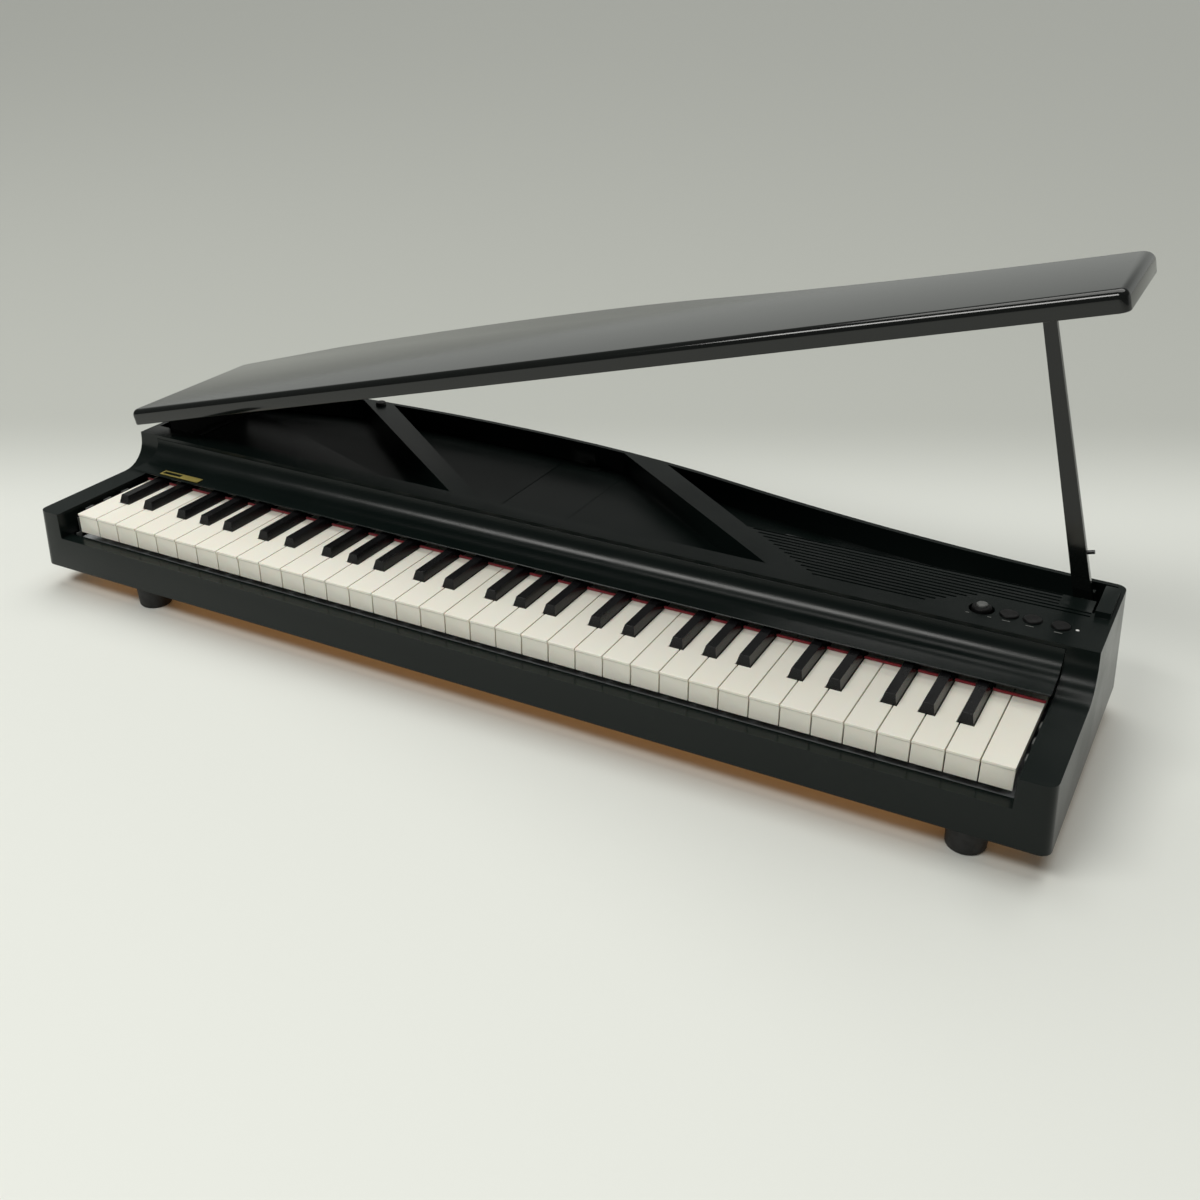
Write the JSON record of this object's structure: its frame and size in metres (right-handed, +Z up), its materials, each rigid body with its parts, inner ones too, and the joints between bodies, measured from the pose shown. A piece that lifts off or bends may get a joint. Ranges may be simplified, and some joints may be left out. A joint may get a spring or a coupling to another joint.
{
  "type": "digital mini grand piano",
  "caption": "Table-top digital mini grand piano with a short-pitch keyboard, braced top tray, sound slots, controls and a hinged lid held open by a folding prop.",
  "frame": {"origin": "on the floor under the middle of the case", "axes": "+Z up, keyboard faces -Y, treble end at +X"},
  "size_m": [0.792, 0.2795, 0.3124],
  "materials": {
    "case_black": "satin moulded plastic",
    "base_board": "hardboard",
    "lid_gloss": "polished",
    "key_ivory": "semi-gloss",
    "key_ebony": "satin",
    "chassis_grey": "moulded",
    "felt_red": "felt",
    "steel": "plated",
    "prop_black": "satin gloss",
    "control_black": "fine texture",
    "rubber_foot": "matt",
    "board_green": "solder mask"
  },
  "bodies": {
    "case": {"case_shell": "case_black", "base_board": "base_board", "fallboard": "case_black", "key_chassis": "chassis_grey", "key_felt": "felt_red", "lid_hinge": "steel", "speaker": "steel", "main_board": "board_green", "foot_front_left": "rubber_foot", "foot_front_right": "rubber_foot", "foot_back_left": "rubber_foot", "foot_back_right": "rubber_foot"},
    "lid": {"lid": "lid_gloss"},
    "prop": {"prop_stick": "prop_black"},
    "knob": {"volume_knob": "control_black"},
    "power": {"power_button": "control_black"},
    "sound": {"sound_button": "control_black"},
    "demo": {"demo_button": "control_black"},
    "battery_door": {"battery_cover": "case_black"},
    "white_01": {"white_key_01": "key_ivory"},
    "white_02": {"white_key_02": "key_ivory"},
    "white_03": {"white_key_03": "key_ivory"},
    "white_04": {"white_key_04": "key_ivory"},
    "white_05": {"white_key_05": "key_ivory"},
    "white_06": {"white_key_06": "key_ivory"},
    "white_07": {"white_key_07": "key_ivory"},
    "white_08": {"white_key_08": "key_ivory"},
    "white_09": {"white_key_09": "key_ivory"},
    "white_10": {"white_key_10": "key_ivory"},
    "white_11": {"white_key_11": "key_ivory"},
    "white_12": {"white_key_12": "key_ivory"},
    "white_13": {"white_key_13": "key_ivory"},
    "white_14": {"white_key_14": "key_ivory"},
    "white_15": {"white_key_15": "key_ivory"},
    "white_16": {"white_key_16": "key_ivory"},
    "white_17": {"white_key_17": "key_ivory"},
    "white_18": {"white_key_18": "key_ivory"},
    "white_19": {"white_key_19": "key_ivory"},
    "white_20": {"white_key_20": "key_ivory"},
    "white_21": {"white_key_21": "key_ivory"},
    "white_22": {"white_key_22": "key_ivory"},
    "white_23": {"white_key_23": "key_ivory"},
    "white_24": {"white_key_24": "key_ivory"},
    "white_25": {"white_key_25": "key_ivory"},
    "white_26": {"white_key_26": "key_ivory"},
    "white_27": {"white_key_27": "key_ivory"},
    "white_28": {"white_key_28": "key_ivory"},
    "white_29": {"white_key_29": "key_ivory"},
    "white_30": {"white_key_30": "key_ivory"},
    "white_31": {"white_key_31": "key_ivory"},
    "white_32": {"white_key_32": "key_ivory"},
    "white_33": {"white_key_33": "key_ivory"},
    "white_34": {"white_key_34": "key_ivory"},
    "white_35": {"white_key_35": "key_ivory"},
    "white_36": {"white_key_36": "key_ivory"},
    "blacks_1": {"black_keys_1": "key_ebony"},
    "blacks_2": {"black_keys_2": "key_ebony"},
    "blacks_3": {"black_keys_3": "key_ebony"},
    "blacks_4": {"black_keys_4": "key_ebony"},
    "blacks_5": {"black_keys_5": "key_ebony"}
  },
  "joints": [
    {"name": "lid_open", "type": "hinge", "parent": "case", "child": "lid", "pos_m": [-0.384, 0.04725, 0.104], "axis": [0, -1, 0], "range_deg": [0, 35]},
    {"name": "prop_fold", "type": "hinge", "parent": "case", "child": "prop", "pos_m": [0.368, 0.05065, 0.0883], "axis": [0, -1, 0], "range_deg": [0, 74]},
    {"name": "volume_turn", "type": "hinge", "parent": "case", "child": "knob", "pos_m": [0.3137, -0.00315, 0.092], "axis": [0, 0, 1], "range_deg": [-140, 140]},
    {"name": "power_press", "type": "slide", "parent": "case", "child": "power", "axis": [0, 0, -1], "range_m": [0, 0.001], "stiffness_N_per_m": 300, "springref_m": -0.002},
    {"name": "sound_press", "type": "slide", "parent": "case", "child": "sound", "axis": [0, 0, -1], "range_m": [0, 0.001], "stiffness_N_per_m": 300, "springref_m": -0.002},
    {"name": "demo_press", "type": "slide", "parent": "case", "child": "demo", "axis": [0, 0, -1], "range_m": [0, 0.001], "stiffness_N_per_m": 300, "springref_m": -0.002},
    {"name": "battery_cover_lift", "type": "slide", "parent": "case", "child": "battery_door", "axis": [0, 0, 1], "range_m": [0, 0.03]},
    {"name": "white_01_press", "type": "hinge", "parent": "case", "child": "white_01", "pos_m": [-0.35701, 0.01025, 0.061], "axis": [1, 0, 0], "range_deg": [0, 2.6], "stiffness_Nm_per_rad": 0.4, "springref_deg": -11.46},
    {"name": "white_02_press", "type": "hinge", "parent": "case", "child": "white_02", "pos_m": [-0.333, 0.01025, 0.061], "axis": [1, 0, 0], "range_deg": [0, 2.6], "stiffness_Nm_per_rad": 0.4, "springref_deg": -11.46},
    {"name": "white_03_press", "type": "hinge", "parent": "case", "child": "white_03", "pos_m": [-0.30899, 0.01025, 0.061], "axis": [1, 0, 0], "range_deg": [0, 2.6], "stiffness_Nm_per_rad": 0.4, "springref_deg": -11.46},
    {"name": "white_04_press", "type": "hinge", "parent": "case", "child": "white_04", "pos_m": [-0.29641, 0.01025, 0.061], "axis": [1, 0, 0], "range_deg": [0, 2.6], "stiffness_Nm_per_rad": 0.4, "springref_deg": -11.46},
    {"name": "white_05_press", "type": "hinge", "parent": "case", "child": "white_05", "pos_m": [-0.2736, 0.01025, 0.061], "axis": [1, 0, 0], "range_deg": [0, 2.6], "stiffness_Nm_per_rad": 0.4, "springref_deg": -11.46},
    {"name": "white_06_press", "type": "hinge", "parent": "case", "child": "white_06", "pos_m": [-0.25007, 0.01025, 0.061], "axis": [1, 0, 0], "range_deg": [0, 2.6], "stiffness_Nm_per_rad": 0.4, "springref_deg": -11.46},
    {"name": "white_07_press", "type": "hinge", "parent": "case", "child": "white_07", "pos_m": [-0.22726, 0.01025, 0.061], "axis": [1, 0, 0], "range_deg": [0, 2.6], "stiffness_Nm_per_rad": 0.4, "springref_deg": -11.46},
    {"name": "white_08_press", "type": "hinge", "parent": "case", "child": "white_08", "pos_m": [-0.21468, 0.01025, 0.061], "axis": [1, 0, 0], "range_deg": [0, 2.6], "stiffness_Nm_per_rad": 0.4, "springref_deg": -11.46},
    {"name": "white_09_press", "type": "hinge", "parent": "case", "child": "white_09", "pos_m": [-0.19067, 0.01025, 0.061], "axis": [1, 0, 0], "range_deg": [0, 2.6], "stiffness_Nm_per_rad": 0.4, "springref_deg": -11.46},
    {"name": "white_10_press", "type": "hinge", "parent": "case", "child": "white_10", "pos_m": [-0.16666, 0.01025, 0.061], "axis": [1, 0, 0], "range_deg": [0, 2.6], "stiffness_Nm_per_rad": 0.4, "springref_deg": -11.46},
    {"name": "white_11_press", "type": "hinge", "parent": "case", "child": "white_11", "pos_m": [-0.15408, 0.01025, 0.061], "axis": [1, 0, 0], "range_deg": [0, 2.6], "stiffness_Nm_per_rad": 0.4, "springref_deg": -11.46},
    {"name": "white_12_press", "type": "hinge", "parent": "case", "child": "white_12", "pos_m": [-0.13127, 0.01025, 0.061], "axis": [1, 0, 0], "range_deg": [0, 2.6], "stiffness_Nm_per_rad": 0.4, "springref_deg": -11.46},
    {"name": "white_13_press", "type": "hinge", "parent": "case", "child": "white_13", "pos_m": [-0.10774, 0.01025, 0.061], "axis": [1, 0, 0], "range_deg": [0, 2.6], "stiffness_Nm_per_rad": 0.4, "springref_deg": -11.46},
    {"name": "white_14_press", "type": "hinge", "parent": "case", "child": "white_14", "pos_m": [-0.08493, 0.01025, 0.061], "axis": [1, 0, 0], "range_deg": [0, 2.6], "stiffness_Nm_per_rad": 0.4, "springref_deg": -11.46},
    {"name": "white_15_press", "type": "hinge", "parent": "case", "child": "white_15", "pos_m": [-0.07235, 0.01025, 0.061], "axis": [1, 0, 0], "range_deg": [0, 2.6], "stiffness_Nm_per_rad": 0.4, "springref_deg": -11.46},
    {"name": "white_16_press", "type": "hinge", "parent": "case", "child": "white_16", "pos_m": [-0.04834, 0.01025, 0.061], "axis": [1, 0, 0], "range_deg": [0, 2.6], "stiffness_Nm_per_rad": 0.4, "springref_deg": -11.46},
    {"name": "white_17_press", "type": "hinge", "parent": "case", "child": "white_17", "pos_m": [-0.02433, 0.01025, 0.061], "axis": [1, 0, 0], "range_deg": [0, 2.6], "stiffness_Nm_per_rad": 0.4, "springref_deg": -11.46},
    {"name": "white_18_press", "type": "hinge", "parent": "case", "child": "white_18", "pos_m": [-0.01175, 0.01025, 0.061], "axis": [1, 0, 0], "range_deg": [0, 2.6], "stiffness_Nm_per_rad": 0.4, "springref_deg": -11.46},
    {"name": "white_19_press", "type": "hinge", "parent": "case", "child": "white_19", "pos_m": [0.01106, 0.01025, 0.061], "axis": [1, 0, 0], "range_deg": [0, 2.6], "stiffness_Nm_per_rad": 0.4, "springref_deg": -11.46},
    {"name": "white_20_press", "type": "hinge", "parent": "case", "child": "white_20", "pos_m": [0.03459, 0.01025, 0.061], "axis": [1, 0, 0], "range_deg": [0, 2.6], "stiffness_Nm_per_rad": 0.4, "springref_deg": -11.46},
    {"name": "white_21_press", "type": "hinge", "parent": "case", "child": "white_21", "pos_m": [0.0574, 0.01025, 0.061], "axis": [1, 0, 0], "range_deg": [0, 2.6], "stiffness_Nm_per_rad": 0.4, "springref_deg": -11.46},
    {"name": "white_22_press", "type": "hinge", "parent": "case", "child": "white_22", "pos_m": [0.06998, 0.01025, 0.061], "axis": [1, 0, 0], "range_deg": [0, 2.6], "stiffness_Nm_per_rad": 0.4, "springref_deg": -11.46},
    {"name": "white_23_press", "type": "hinge", "parent": "case", "child": "white_23", "pos_m": [0.09399, 0.01025, 0.061], "axis": [1, 0, 0], "range_deg": [0, 2.6], "stiffness_Nm_per_rad": 0.4, "springref_deg": -11.46},
    {"name": "white_24_press", "type": "hinge", "parent": "case", "child": "white_24", "pos_m": [0.118, 0.01025, 0.061], "axis": [1, 0, 0], "range_deg": [0, 2.6], "stiffness_Nm_per_rad": 0.4, "springref_deg": -11.46},
    {"name": "white_25_press", "type": "hinge", "parent": "case", "child": "white_25", "pos_m": [0.13058, 0.01025, 0.061], "axis": [1, 0, 0], "range_deg": [0, 2.6], "stiffness_Nm_per_rad": 0.4, "springref_deg": -11.46},
    {"name": "white_26_press", "type": "hinge", "parent": "case", "child": "white_26", "pos_m": [0.15339, 0.01025, 0.061], "axis": [1, 0, 0], "range_deg": [0, 2.6], "stiffness_Nm_per_rad": 0.4, "springref_deg": -11.46},
    {"name": "white_27_press", "type": "hinge", "parent": "case", "child": "white_27", "pos_m": [0.17692, 0.01025, 0.061], "axis": [1, 0, 0], "range_deg": [0, 2.6], "stiffness_Nm_per_rad": 0.4, "springref_deg": -11.46},
    {"name": "white_28_press", "type": "hinge", "parent": "case", "child": "white_28", "pos_m": [0.19973, 0.01025, 0.061], "axis": [1, 0, 0], "range_deg": [0, 2.6], "stiffness_Nm_per_rad": 0.4, "springref_deg": -11.46},
    {"name": "white_29_press", "type": "hinge", "parent": "case", "child": "white_29", "pos_m": [0.21232, 0.01025, 0.061], "axis": [1, 0, 0], "range_deg": [0, 2.6], "stiffness_Nm_per_rad": 0.4, "springref_deg": -11.46},
    {"name": "white_30_press", "type": "hinge", "parent": "case", "child": "white_30", "pos_m": [0.23632, 0.01025, 0.061], "axis": [1, 0, 0], "range_deg": [0, 2.6], "stiffness_Nm_per_rad": 0.4, "springref_deg": -11.46},
    {"name": "white_31_press", "type": "hinge", "parent": "case", "child": "white_31", "pos_m": [0.26033, 0.01025, 0.061], "axis": [1, 0, 0], "range_deg": [0, 2.6], "stiffness_Nm_per_rad": 0.4, "springref_deg": -11.46},
    {"name": "white_32_press", "type": "hinge", "parent": "case", "child": "white_32", "pos_m": [0.27291, 0.01025, 0.061], "axis": [1, 0, 0], "range_deg": [0, 2.6], "stiffness_Nm_per_rad": 0.4, "springref_deg": -11.46},
    {"name": "white_33_press", "type": "hinge", "parent": "case", "child": "white_33", "pos_m": [0.29572, 0.01025, 0.061], "axis": [1, 0, 0], "range_deg": [0, 2.6], "stiffness_Nm_per_rad": 0.4, "springref_deg": -11.46},
    {"name": "white_34_press", "type": "hinge", "parent": "case", "child": "white_34", "pos_m": [0.31926, 0.01025, 0.061], "axis": [1, 0, 0], "range_deg": [0, 2.6], "stiffness_Nm_per_rad": 0.4, "springref_deg": -11.46},
    {"name": "white_35_press", "type": "hinge", "parent": "case", "child": "white_35", "pos_m": [0.34206, 0.01025, 0.061], "axis": [1, 0, 0], "range_deg": [0, 2.6], "stiffness_Nm_per_rad": 0.4, "springref_deg": -11.46},
    {"name": "white_36_press", "type": "hinge", "parent": "case", "child": "white_36", "pos_m": [0.35832, 0.01025, 0.061], "axis": [1, 0, 0], "range_deg": [0, 2.6], "stiffness_Nm_per_rad": 0.4, "springref_deg": -11.46},
    {"name": "blacks_1_press", "type": "hinge", "parent": "case", "child": "blacks_1", "pos_m": [-0.2903, 0.01025, 0.067], "axis": [1, 0, 0], "range_deg": [0, 2.6], "stiffness_Nm_per_rad": 1.2, "springref_deg": -11.46},
    {"name": "blacks_2_press", "type": "hinge", "parent": "case", "child": "blacks_2", "pos_m": [-0.14797, 0.01025, 0.067], "axis": [1, 0, 0], "range_deg": [0, 2.6], "stiffness_Nm_per_rad": 1.2, "springref_deg": -11.46},
    {"name": "blacks_3_press", "type": "hinge", "parent": "case", "child": "blacks_3", "pos_m": [-0.00564, 0.01025, 0.067], "axis": [1, 0, 0], "range_deg": [0, 2.6], "stiffness_Nm_per_rad": 1.2, "springref_deg": -11.46},
    {"name": "blacks_4_press", "type": "hinge", "parent": "case", "child": "blacks_4", "pos_m": [0.13669, 0.01025, 0.067], "axis": [1, 0, 0], "range_deg": [0, 2.6], "stiffness_Nm_per_rad": 1.2, "springref_deg": -11.46},
    {"name": "blacks_5_press", "type": "hinge", "parent": "case", "child": "blacks_5", "pos_m": [0.27902, 0.01025, 0.067], "axis": [1, 0, 0], "range_deg": [0, 2.6], "stiffness_Nm_per_rad": 1.2, "springref_deg": -11.46}
  ]
}
